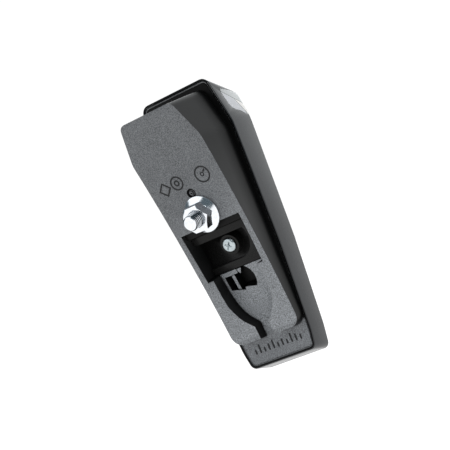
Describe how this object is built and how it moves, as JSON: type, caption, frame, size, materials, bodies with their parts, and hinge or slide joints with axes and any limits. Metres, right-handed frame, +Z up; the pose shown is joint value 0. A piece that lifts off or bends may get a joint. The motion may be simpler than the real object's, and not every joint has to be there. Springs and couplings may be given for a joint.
{
  "type": "mudguard rear light",
  "caption": "Bicycle rear light for a mudguard: long tapering housing, bolted on by one stud, with a cable terminal behind a screwed cover and a clear lens zone at its upper end.",
  "frame": {"origin": "on the mounting stud's axis, where it leaves the mounting face", "axes": "+Z up the length of the light as it hangs on the mudguard, +Y the way the light shines, +X to the right seen from the mounting side"},
  "size_m": [0.0328, 0.0293, 0.0897],
  "materials": {
    "shell_plastic": "satin dark grey moulded plastic",
    "clear_plastic": "clear moulded plastic",
    "red_reflector": "red transparent reflector plastic",
    "seal_rubber": "grey seal",
    "base_plastic": "fine spark-eroded mid grey plastic",
    "zinc_steel": "bright zinc plated steel",
    "screw_steel": "bright zinc plated steel",
    "block_plastic": "black moulded plastic",
    "cover_plastic": "glossy black moulded plastic",
    "contact_brass": "bright brass strip",
    "board_laminate": "green circuit board with solder mask",
    "led_resin": "red tinted resin",
    "white_plastic": "white moulded plastic",
    "component_sleeve": "dark shrink sleeve",
    "component_black": "black epoxy",
    "component_can": "bare aluminium can"
  },
  "bodies": {
    "light": {"housing_shell": "shell_plastic", "clear_lens": "clear_plastic", "reflex_reflector": "red_reflector", "rim_seal": "seal_rubber", "base_housing": "base_plastic", "mount_stud": "zinc_steel", "terminal_block": "block_plastic", "contact_left": "contact_brass", "contact_right": "contact_brass", "circuit_board": "board_laminate", "board_screw_1": "screw_steel", "board_screw_2": "screw_steel", "led_1": "led_resin", "led_2": "led_resin", "led_3": "led_resin", "led_4": "led_resin", "reflector_tray": "white_plastic", "light_guide": "clear_plastic", "standlight_capacitor": "component_sleeve", "bridge_rectifier": "component_black", "regulator_chip": "component_black", "inductor_coil": "component_black", "smoothing_capacitor": "component_can", "resistor_1": "component_black", "resistor_2": "component_black"},
    "nut": {"flange_nut": "zinc_steel"},
    "cover": {"terminal_cover": "cover_plastic"},
    "screw": {"cover_screw": "screw_steel"}
  },
  "joints": [
    {"name": "nut_turn", "type": "hinge", "parent": "light", "child": "nut", "pos_m": [0, 0, 0], "axis": [0, -0.9813, -0.1925], "continuous": true},
    {"name": "cover_lift", "type": "slide", "parent": "light", "child": "cover", "axis": [0, -0.9813, -0.1925], "range_m": [0, 0.015]},
    {"name": "screw_turn", "type": "hinge", "parent": "cover", "child": "screw", "pos_m": [0, 0.00701, -0.01164], "axis": [0, -0.9813, -0.1925], "continuous": true}
  ]
}
